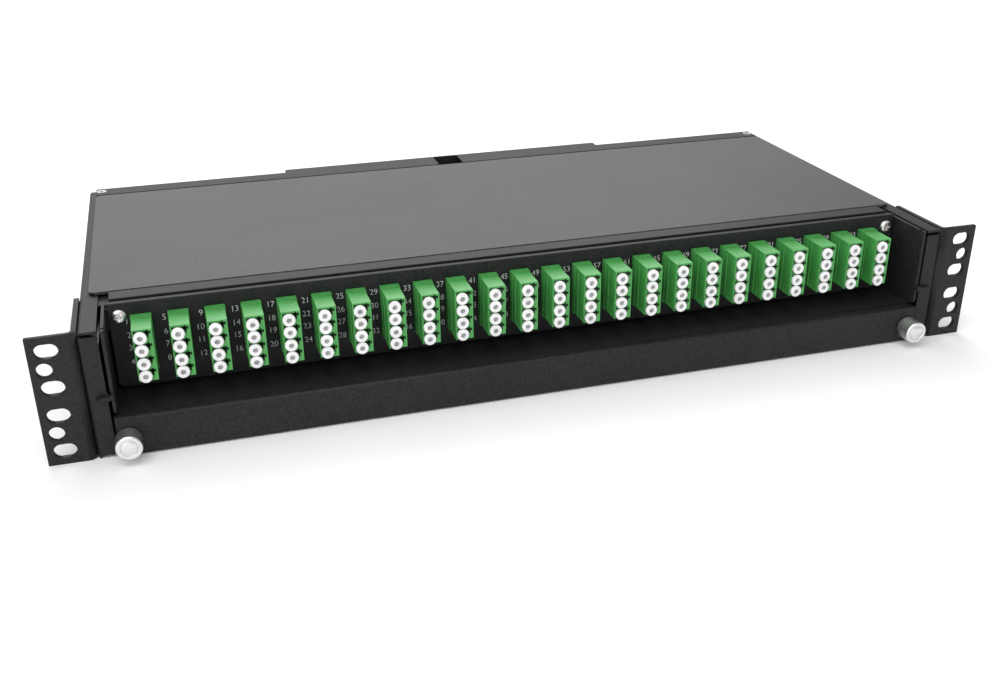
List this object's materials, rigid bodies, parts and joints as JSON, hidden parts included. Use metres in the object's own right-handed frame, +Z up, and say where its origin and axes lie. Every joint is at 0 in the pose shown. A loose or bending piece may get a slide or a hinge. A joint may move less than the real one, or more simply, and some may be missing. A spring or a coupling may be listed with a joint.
{
  "type": "rack patch panel",
  "caption": "Two-unit sliding fibre patch panel: sheet-steel case with rack ears, pull-out drawer, rows of capped duplex adapters, thumbscrews and rear cable glands.",
  "frame": {"origin": "middle of the footprint, on the ground plane under the case", "axes": "+X to the right along the width, +Y from the front towards the rear glands, +Z up"},
  "size_m": [0.4826, 0.2398, 0.065],
  "materials": {
    "case_powder": "fine-textured satin powder coat",
    "cover_powder": "fine-textured satin powder coat",
    "zinc_steel": "bright zinc plate",
    "nickel_plate": "bright nickel plate",
    "bearing_steel": "polished",
    "adapter_green": "moulded satin",
    "cap_white": "moulded satin",
    "tray_plastic": "moulded fine grain",
    "lid_plastic": "smooth moulded",
    "gland_plastic": "moulded matt",
    "seal_rubber": "matt"
  },
  "bodies": {
    "case": {"case_shell": "case_powder", "front_crossbar": "case_powder", "rear_panel": "case_powder", "case_screws": "zinc_steel", "ear_left": "case_powder", "ear_right": "case_powder", "gland_bodies": "gland_plastic", "gland_nuts": "gland_plastic", "gland_locknuts": "gland_plastic", "gland_seals": "seal_rubber", "cable_grommets": "seal_rubber", "slide_outer_left": "zinc_steel", "slide_outer_right": "zinc_steel", "lock_nuts": "zinc_steel"},
    "cover": {"top_cover": "cover_powder"},
    "drawer": {"drawer_tray": "case_powder", "adapter_plate": "case_powder", "plate_screws": "nickel_plate", "adapter_01": "adapter_green", "adapter_02": "adapter_green", "adapter_03": "adapter_green", "adapter_04": "adapter_green", "adapter_05": "adapter_green", "adapter_06": "adapter_green", "adapter_07": "adapter_green", "adapter_08": "adapter_green", "adapter_09": "adapter_green", "adapter_10": "adapter_green", "adapter_11": "adapter_green", "adapter_12": "adapter_green", "adapter_13": "adapter_green", "adapter_14": "adapter_green", "adapter_15": "adapter_green", "adapter_16": "adapter_green", "adapter_17": "adapter_green", "adapter_18": "adapter_green", "adapter_19": "adapter_green", "adapter_20": "adapter_green", "adapter_21": "adapter_green", "adapter_22": "adapter_green", "adapter_23": "adapter_green", "adapter_24": "adapter_green", "dust_caps_front": "cap_white", "dust_caps_rear": "cap_white", "adapter_clips": "zinc_steel", "slide_inner_left": "zinc_steel", "slide_inner_right": "zinc_steel", "splice_tray_left": "tray_plastic", "splice_tray_right": "tray_plastic", "tray_lids": "lid_plastic", "tray_nuts": "zinc_steel", "fibre_guides": "cap_white"},
    "cage_left": {"ball_cage_left": "zinc_steel", "slide_balls_left": "bearing_steel"},
    "cage_right": {"ball_cage_right": "zinc_steel", "slide_balls_right": "bearing_steel"},
    "thumb_clip_left": {"thumb_clip_left": "zinc_steel"},
    "thumb_clip_right": {"thumb_clip_right": "zinc_steel"},
    "thumb_knob_left": {"thumb_knob_left": "nickel_plate"},
    "thumb_knob_right": {"thumb_knob_right": "nickel_plate"}
  },
  "joints": [
    {"name": "drawer_slide", "type": "slide", "parent": "case", "child": "drawer", "axis": [0, -1, 0], "range_m": [0, 0.1]},
    {"name": "cage_left_slide", "type": "slide", "parent": "case", "child": "cage_left", "axis": [0, -1, 0], "range_m": [0, 0.05]},
    {"name": "cage_right_slide", "type": "slide", "parent": "case", "child": "cage_right", "axis": [0, -1, 0], "range_m": [0, 0.05]},
    {"name": "cover_lift", "type": "slide", "parent": "case", "child": "cover", "axis": [0, 0, 1], "range_m": [0, 0.04]},
    {"name": "thumb_left_travel", "type": "slide", "parent": "drawer", "child": "thumb_clip_left", "axis": [0, -1, 0], "range_m": [0, 0.0056]},
    {"name": "thumb_left_turn", "type": "hinge", "parent": "thumb_clip_left", "child": "thumb_knob_left", "pos_m": [-0.205, -0.1081, 0.0095], "axis": [0, -1, 0], "range_deg": [0, 2520]},
    {"name": "thumb_right_travel", "type": "slide", "parent": "drawer", "child": "thumb_clip_right", "axis": [0, -1, 0], "range_m": [0, 0.0056]},
    {"name": "thumb_right_turn", "type": "hinge", "parent": "thumb_clip_right", "child": "thumb_knob_right", "pos_m": [0.205, -0.1081, 0.0095], "axis": [0, -1, 0], "range_deg": [0, 2520]}
  ],
  "couplings": [
    {"joint": "cage_left_slide", "follows": "drawer_slide", "ratio": 0.5},
    {"joint": "cage_right_slide", "follows": "drawer_slide", "ratio": 0.5},
    {"joint": "thumb_left_travel", "follows": "thumb_left_turn", "m_per_rad": 0.0001273},
    {"joint": "thumb_right_travel", "follows": "thumb_right_turn", "m_per_rad": 0.0001273}
  ]
}
